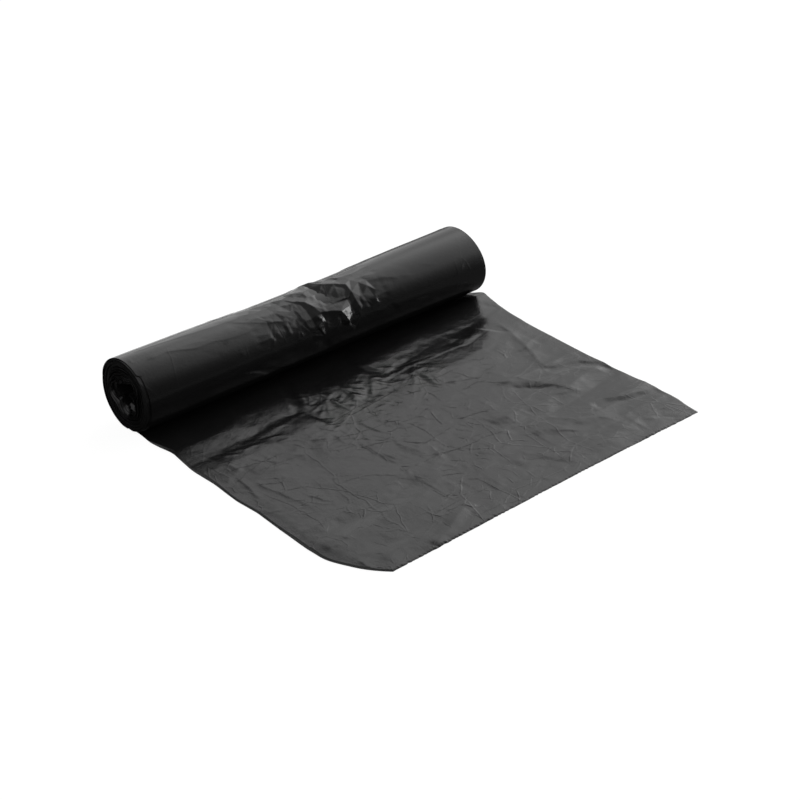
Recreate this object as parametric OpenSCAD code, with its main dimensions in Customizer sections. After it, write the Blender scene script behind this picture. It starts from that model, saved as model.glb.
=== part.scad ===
// Roll of black bin bags without a core, lying on its side, with the first bag pulled out
// flat in front of it.
// X runs along the roll, the bag runs out along -Y and Z is up.
// The origin is on the floor, in the middle of the flat spot that the roll rests on.

/* [Roll] */
// Length of the roll, which is the width of a folded bag
roll_length = 457; // [360:1:600]
// Width of the roll at its left end
left_width = 83; // [72:0.5:96]
// Height of the roll at its left end
left_height = 81; // [70:0.5:94]
// Width of the roll at its right end, which has slumped more
right_width = 88; // [74:0.5:98]
// Height of the roll at its right end
right_height = 77; // [68:0.5:92]
// Depth to which the weight of the roll presses it flat on the floor
flat_press = 0.8; // [0.4:0.1:1.2]
// Dip of the roll between the side gussets, where each bag has fewer layers
waist = 3.5; // [0:0.5:5]

/* [Turns] */
// Thickness of the web of bags where it lies by itself
web = 0.8; // [0.6:0.05:1]
// Thickness of a bundle of turns that cling together
bundle = 3.1; // [2.6:0.1:3.6]
// Air between one turn and the next
turn_gap = 0.5; // [0.4:0.05:0.7]
// Number of turns from the outside to the hollow middle
turn_count = 7; // [5:1:7]
// How unevenly the turns end at both ends of the roll
end_rag = 0.9; // [0:0.1:1.5]
// Depth to which the middle of the roll has sunk in at its ends
core_recess = 5; // [0:0.5:8]
// Sideways shift of the outer bag to the right
bag_shift = 4; // [0:0.5:6]

/* [Pulled-out bag] */
// Distance from the resting line of the roll to the torn front edge
bag_reach = 361; // [260:1:480]
// Depth of the gusset at each side of the bag
gusset = 157; // [110:1:165]
// Length of side edge that is folded under at the front left corner
corner_side = 55; // [30:1:70]
// Length of front edge that is folded under at the front left corner
corner_front = 36; // [20:1:50]
// Depth of the teeth that the torn perforation leaves
tooth = 1; // [0.4:0.1:1.6]
// Number of teeth along the front edge
tooth_count = 60; // [60:30:120]

/* [Folds] */
// Height of the folds in the pulled-out bag, as a share of the ones given below
fold_share = 1; // [0.5:0.05:1.2]
// Height of the puckers round the middle of the roll, as a share of the ones given below
pucker_share = 1; // [0.4:0.05:1.2]

/* [Hidden] */
// Steps across the width: beside the gusset folds, between them, and how many make one coarse step
side_steps = 8;
middle_steps = 14;
coarse = 5;
fine_steps = 2 * side_steps + middle_steps;
// Steps along the pulled-out bag: close to the roll, in the band of high folds, and on to the
// front edge. The band's start and end are shares of the bag's reach.
near_rows = 5;
band_rows = 9;
far_rows = 16;
band_start = 0.16;
band_end = 0.37;
bag_rows = near_rows + band_rows + far_rows;
// Degrees between two rows in the outer two turns, and in the turns further in
outer_step = 10;
inner_step = 15;
one_turn = 360;
wind_end = one_turn * turn_count;
mean_radius = (left_width + left_height + right_width + right_height) / 8;

// Part of the round that has puckers, in degrees from the resting line over the back, and the
// degrees over which they fade at its ends
pucker_start = 170;
pucker_end = 280;
pucker_fade = 12;
// Shares of a pucker and of a dent that the second turn follows, under the loose outer one
pucker_under = 0.4;
dent_under = 1.5;
// Half width of the roll's dip as a share of the width between the gussets
dip_share = 0.88;

// Degrees of winding over which the single web becomes a bundle, over which the ends change from
// the shifted outer bag to the bundles, and over which the last bundle thins to a single web
bundle_start = 300;
bundle_full = 480;
shift_end = 390;
end_taper = 120;
// How far the middle of the roll has fallen in, how far it has moved towards the back, and the
// depths at which this starts and is complete, as shares of the radius
core_fall = 0.88;
core_back = 4;
fall_start = 0.24;
fall_full = 0.64;
// Lobes of the fallen middle: share, number round the section, and phase at the left and right end
core_lobes = [
    [0.62, 3, 70, 30],
    [0.38, 5, -60, -10]
];
// Depths from which and to which the ends of the turns sink in, as shares of the radius
sink_start = 0.28;
sink_full = 0.58;
// Waves of the turns' ends along the winding: share, degrees per degree and phase. The right end
// takes them rag_ahead degrees ahead of the left one.
rag_waves = [
    [1.0, 1.7, 30],
    [0.6, 3.1, 0]
];
rag_ahead = 130;

// The outer bag and the pulled-out one are this much narrower than the roll is long
bag_trim = 0.5;
// Waves of the pulled-out bag's side edges: height, degrees per millimetre and phase, and the
// distance over which they grow
left_waves = [
    [1.4, 5.2, 0],
    [-1.2, 2.3, 0]
];
right_waves = [
    [1.6, 3.1, 40]
];
wave_growth = 45;
// Bulge of the right edge beside the roll: how far it stands out, its place and its half width
bulge = 4;
bulge_at = 32;
bulge_half = 26;
bulge_growth = 12;
// Front edge: height of its wave, and degrees per step of the perforation
front_wave = 0.6;
front_step = 17;
// Roundness of the cut that the folded corner leaves, and the slope round the doubled film
corner_round = 1.6;
corner_slope = 8;
// Distances from the resting line to which the bag lies flat, and from which its folds are full
flat_until = 14;
folded_from = 36;
// Power to which a fold's flanks rise: 1 is flat flanks, more makes them hollow
crest_power = 1.3;

// Folds of the pulled-out bag: start and end as shares of width and reach, then height and half width
bag_folds = [
    [0.00, 0.197, 0.16, 0.192, 2.8, 24],
    [0.16, 0.192, 0.34, 0.170, 2.6, 24],
    [0.36, 0.180, 0.54, 0.225, 1.8, 20],
    [0.56, 0.190, 0.95, 0.137, 2.8, 24],
    [0.86, 0.137, 1.00, 0.100, 3.4, 20],
    [0.00, 0.340, 0.15, 0.350, 2.6, 22],
    [0.15, 0.350, 0.35, 0.325, 2.8, 22],
    [0.36, 0.300, 0.44, 0.235, 2.6, 16],
    [0.44, 0.300, 0.50, 0.230, 2.2, 14],
    [0.52, 0.330, 0.60, 0.250, 2.2, 15],
    [0.64, 0.340, 0.80, 0.345, 3.4, 22],
    [0.80, 0.345, 0.92, 0.275, 3.0, 20],
    [0.08, 0.445, 0.27, 0.395, 1.8, 13],
    [0.04, 0.760, 0.32, 0.760, 2.4, 14],
    [0.09, 0.895, 0.31, 0.875, 2.0, 14],
    [0.46, 0.495, 0.61, 0.600, 2.2, 13],
    [0.36, 0.480, 0.41, 0.640, 1.8, 12],
    [0.50, 0.745, 0.57, 0.880, 2.4, 13],
    [0.57, 0.830, 0.67, 0.980, 2.6, 13],
    [0.69, 0.705, 0.86, 0.880, 2.8, 14],
    [0.76, 0.730, 1.00, 0.860, 3.0, 15],
    [0.77, 0.725, 1.00, 0.690, 2.4, 14],
    [0.72, 0.520, 1.00, 0.535, 2.2, 13],
    [0.88, 0.555, 0.99, 0.600, 2.0, 12],
    [0.95, 0.250, 0.88, 0.550, 2.0, 13]
];
// Puckers round the roll: start and end as share of length and degrees, then height and half width
roll_puckers = [
    [0.535, 172, 0.525, 207, 3.2, 11],
    [0.455, 195, 0.560, 227, 3.6, 10],
    [0.560, 227, 0.600, 222, 3.0, 9],
    [0.425, 180, 0.428, 225, 2.6, 10],
    [0.428, 225, 0.462, 245, 2.4, 9],
    [0.595, 180, 0.645, 212, 2.4, 10],
    [0.575, 255, 0.590, 228, 3.0, 9],
    [0.470, 246, 0.500, 218, 2.4, 9],
    [0.365, 200, 0.385, 238, 1.8, 10],
    [0.645, 212, 0.670, 246, 1.8, 10],
    [0.565, 180, 0.575, 205, -1.4, 12],
    [0.480, 235, 0.520, 250, -1.0, 10],
    [0.395, 215, 0.405, 240, -1.0, 9]
];

function lerp(a, b, t) = a + (b - a) * t;
function held(t) = min(max(t, 0), 1);
function smooth(t) = let (c = held(t)) c * c * (3 - 2 * c);
function bell(t) = exp(-t * t);

// Height at point p of a fold whose crest runs from a to b
function off_crest(p, a, b) =
    let (d = b - a, t = held((p - a) * d / (d * d)))
    norm(p - a - t * d);
function crest(p, a, b, height, half_width) =
    height * pow(held(1 - off_crest(p, a, b) / half_width), crest_power);
function total(list, i = 0) = i < len(list) ? list[i] + total(list, i + 1) : 0;
function waves(list, along) = total([for (w = list) w[0] * sin(along * w[1] + w[2])]);

// Share of the width at which station i stands, with a station on each gusset fold
function share(i) =
    let (g = gusset / roll_length)
    i <= side_steps ? g * i / side_steps
    : i <= side_steps + middle_steps ? lerp(g, 1 - g, (i - side_steps) / middle_steps)
    : 1 - g * (fine_steps - i) / side_steps;

// Side edges of the pulled-out bag at a distance from the resting line
function left_edge(d) =
    let (cut = held((d - bag_reach + corner_side) / corner_side))
    bag_shift + waves(left_waves, d) * smooth(d / wave_growth) + corner_front * pow(cut, corner_round);
function right_edge(d) =
    roll_length + bag_shift - bag_trim
    + bulge * bell((d - bulge_at) / bulge_half) * smooth(d / bulge_growth)
    + (waves(right_waves, d) - waves(right_waves, 0)) * smooth(d / wave_growth);

// Height of the underside of the pulled-out bag: flat under the roll, folded beyond it
function lift(across, along) =
    let (
        size = [roll_length, bag_reach],
        d = along * bag_reach,
        p = [across * roll_length, d]
    )
    fold_share * smooth((d - flat_until) / (folded_from - flat_until)) * total([
        for (f = bag_folds)
            crest(p, [f[0] * size[0], f[1] * size[1]], [f[2] * size[0], f[3] * size[1]], f[4], f[5])
    ]);

// The corner that is folded under lies against the bag and makes it twice as thick there
function doubled(across, along) =
    let (
        p = [across * roll_length, (1 - along) * bag_reach],
        a = [bag_shift, corner_side],
        b = [bag_shift + corner_front, 0],
        d = (b - a) / norm(b - a),
        t = (p - a) * d,
        away = (p[0] - a[0]) * -d[1] + (p[1] - a[1]) * d[0],
        tip_at = corner_side * -d[1],
        tip = corner_side * d[0],
        reach_here = tip * min(t / tip_at, (norm(b - a) - t) / (norm(b - a) - tip_at))
    )
    smooth((reach_here + corner_slope - away) / corner_slope) * smooth((t + corner_slope) / corner_slope);

// Thickness of the wound web, and the depth of its outer side below the outside of the roll
function wound(s) =
    lerp(lerp(web, bundle, smooth((s - bundle_start) / (bundle_full - bundle_start))),
         web, smooth((s - wind_end + end_taper) / end_taper));
function depth(s) =
    s <= one_turn ? (web + turn_gap) * s / one_turn
    : depth(s - one_turn) + wound(s - one_turn) + turn_gap;

// Dip of the roll's upper side between the gussets
function dip(across, angle) =
    let (g = gusset / roll_length)
    waist * bell((across - 0.5) / (dip_share * (1 - 2 * g))) * (1 - cos(angle)) / 2;

// Height of the puckers at a place on the round, in the loose outer turn
function pucker(across, angle) =
    let (
        size = [roll_length, mean_radius * PI / 180],
        p = [across * size[0], angle * size[1]],
        start = smooth((angle - pucker_start) / pucker_fade),
        end = smooth((pucker_end - angle) / pucker_fade)
    )
    start * end == 0 ? 0
    : pucker_share * start * end * total([
        for (f = roll_puckers)
            crest(p, [f[0] * size[0], f[1] * size[1]], [f[2] * size[0], f[3] * size[1]], f[4], f[5])
    ]);
// The second turn follows the puckers in part and clears the dents, and those below stay smooth
function puckered(across, s, top) =
    let (p = s < one_turn || (s < 2 * one_turn && !top) ? pucker(across, s % one_turn) : 0)
    p * (s < one_turn ? 1 : p < 0 ? dent_under : pucker_under);

// How deep the fallen middle has buckled in, from 0 to 1
function buckle(across, angle) = total([
    for (lobe = core_lobes)
        lobe[0] * pow((1 - cos(lobe[1] * angle + lerp(lobe[2], lobe[3], across))) / 2, 2)
]);

// Point on the section of the roll, a depth below its outside, with the middle fallen in
function round_point(across, angle, deep, out) =
    let (
        half_w = lerp(left_width, right_width, across) / 2,
        half_h = lerp(left_height, right_height, across) / 2,
        q = 1 - (deep + dip(across, angle) - out) / mean_radius,
        fallen = smooth((deep / mean_radius - fall_start) / (fall_full - fall_start)),
        r = q * (1 - core_fall * fallen * buckle(across, angle)),
        z_out = max((half_h + flat_press / 2) * (1 - cos(angle)) - flat_press, 0)
    )
    [r * half_w * sin(angle) + core_back * fallen, half_h + r * (z_out - half_h)];

// Ends of the winding: the outer bag is shifted, the bundles end unevenly and the middle has sunk in
function sunk(s) =
    core_recess * smooth((depth(s) / mean_radius - sink_start) / (sink_full - sink_start));
function bundled(s) = smooth((s - bundle_start) / (shift_end - bundle_start));
function wind_left(s) =
    lerp(bag_shift, end_rag * waves(rag_waves, s) + sunk(s), bundled(s));
function wind_right(s) =
    let (bundles = end_rag * waves(rag_waves, s + rag_ahead) - sunk(s))
    roll_length + lerp(bag_shift - bag_trim, bundles, bundled(s));

// One row of the web: [distance along the pulled-out bag, -1] or [-1, winding angle]
function bag_along(j) =
    j <= near_rows ? band_start * j / near_rows
    : j <= near_rows + band_rows ? lerp(band_start, band_end, (j - near_rows) / band_rows)
    : lerp(band_end, 1, (j - near_rows - band_rows) / far_rows);
rows = concat(
    [for (j = [bag_rows : -1 : 1]) [bag_along(j), -1]],
    [for (s = [0 : outer_step : 2 * one_turn - 1]) [-1, s]],
    [for (s = [2 * one_turn : inner_step : wind_end]) [-1, s]]
);
last = len(rows) - 1;

// Number of steps in a row, on the underside or outside (top false) and on the upper side or
// inside (top true)
function fine_round(angle) = angle > pucker_start - outer_step && angle < pucker_end + outer_step;
function steps(row, top) =
    row[0] == 1 ? 2 * tooth_count
    : row[0] > 0 ? fine_steps
    : row[1] == 0 ? fine_steps
    : row[1] < one_turn && fine_round(row[1]) ? fine_steps
    : row[1] < 2 * one_turn && !top && fine_round(row[1] - one_turn) ? fine_steps
    : fine_steps / coarse;

function bag_point(across, along, top, notch) =
    let (
        d = along * bag_reach,
        x = lerp(left_edge(d), right_edge(d), across),
        thick = web * (top ? 1 + doubled(x / roll_length, along) : 0)
    )
    [x - roll_length / 2, -d - notch, lift(x / roll_length, along) + thick];
function wind_point(across, s, top) =
    let (
        x = lerp(wind_left(s), wind_right(s), across),
        at = x / roll_length,
        yz = round_point(at, s % one_turn, depth(s) + (top ? wound(s) : 0), puckered(at, s, top))
    )
    [x - roll_length / 2, yz[0], yz[1]];
function row_points(row, top) =
    let (n = steps(row, top))
    [for (i = [0 : n])
        let (
            across = share(i * fine_steps / n),
            notch = row[0] == 1 ? tooth * (i % 2) + front_wave * sin(i * front_step) : 0
        )
        row[0] < 0 ? wind_point(across, row[1], top) : bag_point(across, row[0], top, notch)
    ];

// Faces between two neighbouring rows, whose numbers of steps are equal or multiples. Both sides
// of the web are cut along the same diagonals, so that it is as thick in the folds as elsewhere.
function wall(a, na, b, nb, top) =
    na == nb ? [for (i = [0 : na - 1]) each top
        ? [[a + i, a + i + 1, b + i], [a + i + 1, b + i + 1, b + i]]
        : [[a + i, a + i + 1, b + i + 1], [a + i, b + i + 1, b + i]]]
    : na > nb ? let (m = na / nb, h = floor(m / 2)) [
        for (j = [0 : nb - 1]) each concat(
            [for (i = [0 : m - 1]) [a + j * m + i, a + j * m + i + 1, b + j + (i < h ? 0 : 1)]],
            [[a + j * m + h, b + j + 1, b + j]]
        )]
    : let (m = nb / na, h = floor(m / 2)) [
        for (j = [0 : na - 1]) each concat(
            [for (i = [0 : m - 1]) [a + j + (i < h ? 0 : 1), b + j * m + i + 1, b + j * m + i]],
            [[a + j, a + j + 1, b + j * m + h]]
        )];

// All rows in order: the underside from the front edge to the middle of the roll, then back along
// the upper side
loop = concat(
    [for (k = [0 : last]) [rows[k], false]],
    [for (k = [last : -1 : 0]) [rows[k], true]]
);
counts = [for (r = loop) steps(r[0], r[1])];
function sums(list, i = 0, at = 0) =
    i < len(list) ? concat([at], sums(list, i + 1, at + list[i] + 1)) : [];
starts = sums(counts);
web_points = [for (r = loop) each row_points(r[0], r[1])];
web_faces = concat(
    [for (k = [0 : len(loop) - 1])
        let (n = (k + 1) % len(loop))
        each wall(starts[k], counts[k], starts[n], counts[n], k > last)],
    [for (k = [0 : last - 1])
        let (
            a = starts[k],
            b = starts[k + 1],
            c = starts[len(loop) - 2 - k],
            d = starts[len(loop) - 1 - k]
        )
        each [[a, b, c], [a, c, d]]],
    [for (k = [0 : last - 1])
        let (
            a = starts[k] + counts[k],
            b = starts[k + 1] + counts[k + 1],
            c = starts[len(loop) - 2 - k] + counts[len(loop) - 2 - k],
            d = starts[len(loop) - 1 - k] + counts[len(loop) - 1 - k]
        )
        each [[a, c, b], [a, d, c]]]
);

// The whole web of bags in one piece: wound up, and flat on the floor where the first bag is pulled out
module bag_roll() {
    color([0.1, 0.1, 0.105])
        polyhedron(points = web_points, faces = web_faces, convexity = 12);
}

bag_roll();
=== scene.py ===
import bpy
import numpy as np
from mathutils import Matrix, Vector
from mathutils.geometry import delaunay_2d_cdt


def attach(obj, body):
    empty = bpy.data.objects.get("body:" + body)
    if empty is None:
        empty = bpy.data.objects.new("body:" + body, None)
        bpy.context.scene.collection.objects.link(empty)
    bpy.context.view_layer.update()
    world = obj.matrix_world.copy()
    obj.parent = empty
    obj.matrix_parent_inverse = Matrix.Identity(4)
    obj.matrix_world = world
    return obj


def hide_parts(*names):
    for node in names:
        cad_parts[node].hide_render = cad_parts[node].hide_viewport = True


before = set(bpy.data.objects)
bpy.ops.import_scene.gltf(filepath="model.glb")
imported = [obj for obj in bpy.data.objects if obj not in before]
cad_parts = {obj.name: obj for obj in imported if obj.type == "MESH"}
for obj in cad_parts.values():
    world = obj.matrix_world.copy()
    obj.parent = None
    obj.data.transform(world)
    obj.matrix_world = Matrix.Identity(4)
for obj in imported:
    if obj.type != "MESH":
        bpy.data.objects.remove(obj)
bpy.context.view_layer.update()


# Studio: a plain floor that the camera sees as white, under a soft white dome. The dome is bright behind the roll and
# on its right and falls off towards the camera, and one soft box stands far off, in front on the right. The camera
# stands where the photograph was taken.

class Shade:
    """A value in a shader tree. Arithmetic on it adds Math nodes, and node() adds any other kind."""

    def __init__(self, tree, port):
        self.tree, self.port = tree, port

    @classmethod
    def node(cls, tree, kind, settings, values, result=0):
        made = tree.nodes.new("ShaderNode" + kind)
        for name, value in settings.items():
            setattr(made, name, value)
        for name, value in values.items():
            if isinstance(value, Shade):
                tree.links.new(value.port, made.inputs[name])
            else:
                made.inputs[name].default_value = value
        return cls(tree, made.outputs[result])

    def other(self, name):
        """Another output of the node that this value comes from."""
        return Shade(self.tree, self.port.node.outputs[name])

    def math(self, operation, *others):
        return Shade.node(self.tree, "Math", {"operation": operation}, dict(enumerate((self,) + others)))

    def __add__(self, other):
        return self.math("ADD", other)

    def __sub__(self, other):
        return self.math("SUBTRACT", other)

    def __mul__(self, other):
        return self.math("MULTIPLY", other)

    def __rsub__(self, other):
        return self * -1 + other

    __radd__, __rmul__ = __add__, __mul__

    def between(self, low, high):
        """0 below low, 1 above high and a smooth rise from one to the other."""
        return Shade.node(self.tree, "MapRange", {"interpolation_type": "SMOOTHSTEP"},
                          {"Value": self, "From Min": low, "From Max": high})


def fresh_tree(owner):
    owner.use_nodes = True
    owner.node_tree.nodes.clear()
    return owner.node_tree


scene = bpy.context.scene
scene.view_settings.view_transform = "Standard"

camera = bpy.data.objects.new("camera", bpy.data.cameras.new("camera"))
scene.collection.objects.link(camera)
scene.camera = camera
# where the camera stood, from a fit to the photograph's outline
turn, rise, distance = np.radians(-41.574), np.radians(31.068), 2.06589
aim = Vector((0.017594, -0.139836, 0.0))
back = Vector((np.sin(turn) * np.cos(rise), -np.cos(turn) * np.cos(rise), np.sin(rise)))
camera.location = aim + back * distance
camera.rotation_euler = back.to_track_quat("Z", "Y").to_euler()
camera.data.sensor_width = 36
camera.data.lens = 89.24

dome = bpy.data.worlds.new("dome")
scene.world = dome
tree = fresh_tree(dome)
heading = Shade.node(tree, "TexCoord", {}, {})
split = Shade.node(tree, "SeparateXYZ", {}, {"Vector": heading})
to_right, to_back, to_top = (split.other(i) for i in range(3))
# the bright wall that level film mirrors: film that leans a few degrees to the left mirrors the dark beside it
right_side = (to_right + to_back * 0.1).between(0.40, 0.56)
over_roll = to_back.between(-0.46, 0.67) * to_right.between(0.4, 0.55) * (1 - to_back.between(0.45, 0.68) * 0.6)
far_right = to_right.between(0.62, 0.78) * to_back.between(-0.75, -0.3) * (1 - to_back.between(0.3, 0.6))
left_side = (1 - to_right.between(-0.35, 0.0)) * to_top.between(0.1, 0.6)
# two patches behind on the right that are less bright
rear_right = to_back.between(0.5, 0.7) * to_right.between(0.56, 0.61)
right_flat = to_back.between(0.4, 0.5) * to_right.between(0.58, 0.66)
level = to_back.between(-0.85, -0.4) * (right_side * 0.62 + 0.24) + over_roll * 0.77 + far_right
level = level - rear_right * 0.43 - right_flat * 0.05 + 0.06 + left_side * 0.4
seen = Shade.node(tree, "LightPath", {}, {})
light = Shade.node(tree, "Background", {}, {"Color": (1, 1, 1, 1), "Strength": level})
white = Shade.node(tree, "Background", {}, {"Color": (1, 1, 1, 1), "Strength": 1.0})
both = Shade.node(tree, "MixShader", {}, {0: seen, 1: light, 2: white})
tree.links.new(both.port, tree.nodes.new("ShaderNodeOutputWorld").inputs["Surface"])

soft_box = bpy.data.objects.new("soft_box", bpy.data.lights.new("soft_box", "AREA"))
soft_box.data.shape = "SQUARE"
soft_box.data.size = 1.2
soft_box.data.energy = 22
soft_box.location = (4.22, -2.675, 0.83)
soft_box.rotation_euler = soft_box.location.to_track_quat("Z", "Y").to_euler()
scene.collection.objects.link(soft_box)

bpy.ops.mesh.primitive_plane_add(size=7, location=(0, 0, -0.0002))
floor = bpy.context.object
floor.name = "floor"
paper = bpy.data.materials.new("floor_paper")
tree = fresh_tree(paper)
matt = Shade.node(tree, "BsdfDiffuse", {}, {"Color": (0.16, 0.16, 0.16, 1)})
seen = Shade.node(tree, "LightPath", {}, {})
mirrored = seen.other("Is Glossy Ray")
split = Shade.node(tree, "SeparateXYZ", {}, {"Vector": Shade.node(tree, "TexCoord", {}, {}, "Object")})
floor_x, floor_y = split.other(0), split.other(1)
# the film mirrors the floor behind the roll as white, and the floor in front of it as dark
rear = floor_y.between(0.03, 0.1) * floor_x.between(-0.24, -0.16) * (1 - floor_x.between(0.14, 0.3) * 0.85) * 0.75
lift_white = Shade.node(tree, "Emission", {}, {"Color": (1, 1, 1, 1), "Strength": seen * 0.93 + mirrored * rear})
bright = Shade.node(tree, "AddShader", {}, {0: matt, 1: lift_white})
tree.links.new(bright.port, tree.nodes.new("ShaderNodeOutputMaterial").inputs["Surface"])
floor.data.materials.append(paper)


# Pulled-out bag: the first bag of the web, a gusseted sack of thin black polythene film that lies folded flat on
# the floor. It is still joined to the roll behind, its front edge is torn along the perforation, and its front left
# corner is folded under. Lengths are in millimetres from the roll's left end and from the line that it rests on.
roll_length = 457.0
bag_reach = 361.2
bag_rows, bag_columns = 264, 336
coarse_step = 4  # the hidden side of a film keeps every fourth point
film_thickness = 0.45  # drawn thicker than the real film, which is about a tenth of a millimetre


def smooth(value):
    held = np.clip(value, 0, 1)
    return held * held * (3 - 2 * held)


def swell(x, y, size, seed):
    """Smooth unevenness from -1 to 1, with swells about size apart."""
    grid = 89
    turns = np.random.default_rng(seed).uniform(0, 2 * np.pi, (grid, grid))
    u, v = x / size, y / size
    i, j = np.floor(u).astype(int), np.floor(v).astype(int)
    s, t = u - i, v - j

    def pull(di, dj):
        a = turns[(i + di) % grid, (j + dj) % grid]
        return np.cos(a) * (s - di) + np.sin(a) * (t - dj)

    s2, t2 = s ** 3 * (s * (6 * s - 15) + 10), t ** 3 * (t * (6 * t - 15) + 10)
    low = pull(0, 0) * (1 - s2) + pull(1, 0) * s2
    high = pull(0, 1) * (1 - s2) + pull(1, 1) * s2
    return 1.5 * (low * (1 - t2) + high * t2)


def press_crease(height, x, y, path, rise, near, far, soft=0.5, toward=(-0.66, 0.75), plane=False):
    """Adds to height a crease along path: near and far are its widths in front of it and behind it.
    Its sides curve down from a sharp line, or with plane they are flat facets."""
    margin = (1.3 if plane else 5) * max(near, far)
    low_x, low_y = (min(p[i] for p in path) - margin for i in (0, 1))
    high_x, high_y = (max(p[i] for p in path) + margin for i in (0, 1))
    close = (x > low_x) & (x < high_x) & (y > low_y) & (y < high_y)
    px, py = x[close], y[close]
    off, place, total = np.full(px.shape, 1e9), np.zeros(px.shape), 0.0
    for (x0, y0), (x1, y1) in zip(path, path[1:]):
        length = float(np.hypot(x1 - x0, y1 - y0))
        ux, uy = (x1 - x0) / length, (y1 - y0) / length
        side = 1.0 if -uy * toward[0] + ux * toward[1] > 0 else -1.0
        along = (px - x0) * ux + (py - y0) * uy
        aside = ((py - y0) * ux - (px - x0) * uy) * side
        over = np.maximum(np.maximum(-along, along - length), 0)
        gap = np.where(over > 0, np.hypot(aside, over), np.abs(aside))
        nearer = gap < np.abs(off)
        off = np.where(nearer, np.copysign(gap, aside), off)
        place = np.where(nearer, total + np.clip(along, 0, length), place)
        total += length
    width = np.where(off > 0, near, far)
    # the crease fades out at both ends, over a longer way when it is broad and round
    open_end = min(0.4 * total, max(10.0, 0 if plane else 2.4 * max(near, far)))
    fade = smooth(place / open_end + 0.25) * smooth((total - place) / open_end + 0.25)
    reach = (np.sqrt(off * off + soft * soft) - soft) / width
    height[close] += rise * fade * (np.maximum(1 - reach, 0) if plane else np.exp(-reach))


def scatter_creases(height, x, y, count, seed, zone, lengths, rises, narrow, lean=None, spread=np.pi):
    """Presses count short creases at random places of the zone: its middle and its spread in x and in y."""
    rng = np.random.default_rng(seed)
    raised_share = 0.6
    for _ in range(count):
        cx, cy = zone[0] + zone[2] * rng.normal(), zone[1] + zone[3] * rng.normal()
        angle = rng.uniform(0, np.pi) if lean is None else lean + spread * rng.normal()
        half = rng.uniform(*lengths) / 2
        bend = rng.normal() * 0.12 * half
        dx, dy = half * np.cos(angle), half * np.sin(angle)
        path = [(cx - dx, cy - dy), (cx - bend * np.sin(angle), cy + bend * np.cos(angle)), (cx + dx, cy + dy)]
        rise = rng.uniform(*rises) * (1 if rng.random() < raised_share else -1)
        near = rng.uniform(*narrow)
        press_crease(height, x, y, path, rise, near, near * rng.uniform(1.2, 3.5), 0.4)


def facet_height(x, y, points, ridges=(), radius=None):
    """Height of a film folded into flat facets: points are (x, y, height), joined along ridges (pairs of indices).
    With a radius the film goes round a cylinder, y is the arc and a facet is flat across it."""
    flat = [Vector((p[0], p[1])) for p in points]
    corners, _, triangles, sources, _, _ = delaunay_2d_cdt(flat, list(ridges), [], 0, 0.01)
    heights = [sum(points[i][2] for i in found) / max(len(found), 1) for found in sources]
    rows, columns = x.shape
    height = np.zeros_like(x)
    for a, b, c in triangles:
        tall = (heights[a], heights[b], heights[c])
        if max(map(abs, tall)) < 1e-6:
            continue
        px, py = [corners[i].x for i in (a, b, c)], [corners[i].y for i in (a, b, c)]
        near_rows = np.nonzero((y.max(1) >= min(py) - 1) & (y.min(1) <= max(py) + 1))[0]
        near_columns = np.nonzero((x.max(0) >= min(px) - 1) & (x.min(0) <= max(px) + 1))[0]
        if not len(near_rows) or not len(near_columns):
            continue
        window = (slice(near_rows[0], near_rows[-1] + 1), slice(near_columns[0], near_columns[-1] + 1))
        u, v = x[window], y[window]
        area = (px[1] - px[0]) * (py[2] - py[0]) - (px[2] - px[0]) * (py[1] - py[0])
        if abs(area) < 1e-9:
            continue
        second = ((u - px[0]) * (py[2] - py[0]) - (px[2] - px[0]) * (v - py[0])) / area
        third = ((px[1] - px[0]) * (v - py[0]) - (u - px[0]) * (py[1] - py[0])) / area
        inside = (second >= 0) & (third >= 0) & (second + third <= 1)
        level = tall[0] * (1 - second - third) + tall[1] * second + tall[2] * third
        if radius and max(py) - min(py) < 0.7 * radius:
            ends = [(radius + rise) * np.exp(1j * arc / radius) for rise, arc in zip(tall, py)]
            chord = np.abs(ends[0] * (1 - second - third) + ends[1] * second + ends[2] * third) - radius
            level = np.maximum(chord, level - 0.9)
        height[window] = np.where(inside, level, height[window])
    return height


def crumple(x, y, pitch, rise, seed):
    """Random flat facets about pitch wide all over, with heights of about rise."""
    rng = np.random.default_rng(seed)
    low_x, high_x = x.min() - 2 * pitch, x.max() + 2 * pitch
    low_y, high_y = y.min() - 2 * pitch, y.max() + 2 * pitch
    count = int((high_x - low_x) * (high_y - low_y) / (pitch * pitch))
    points = np.stack([rng.uniform(low_x, high_x, count), rng.uniform(low_y, high_y, count),
                       rng.normal(0, rise, count)], 1)
    return facet_height(x, y, [tuple(p) for p in points])


def softened(height, times=1):
    """A height field with each point blended with its neighbours."""
    for _ in range(times):
        for axis in (0, 1):
            height = (np.roll(height, 1, axis) + 2 * height + np.roll(height, -1, axis)) / 4
    return height


# side edges of the bag: distance from the line it rests on, and place along the roll
bag_left_edge = [(-8, 4.3), (0, 4.4), (20, 4.1), (36, 2.4), (49, 3.7), (68, 7.4), (81, 5.6), (107, 3.0), (138, 4.8),
                 (178, 3.2), (207, 5.6), (246, 4.1), (284, 3.2), (304, 4.6), (311, 6.2), (319, 9.6), (333, 16.5),
                 (342, 21.5), (352, 29.5), (357, 34.0), (361.2, 42.0)]
bag_right_edge = [(-8, 460.5), (0, 460.7), (12, 462.4), (20, 465), (27, 470), (32, 470.5), (42, 468), (54, 466.4),
                  (87, 462.6), (110, 461.3), (142, 461), (195, 460.4), (247, 460.6), (265, 462), (301, 464.2),
                  (331, 462.2), (361.2, 459.6)]


def along_edge(edge, distance):
    """Place of a side edge at each distance, with its corners rounded off."""
    fine = np.arange(-8.0, 362.0, 1.0)
    drawn = np.interp(fine, *zip(*edge))
    eased = np.convolve(np.pad(drawn, 4, "edge"), np.ones(9) / 9, "valid")
    return np.interp(distance, fine, eased)


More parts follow.
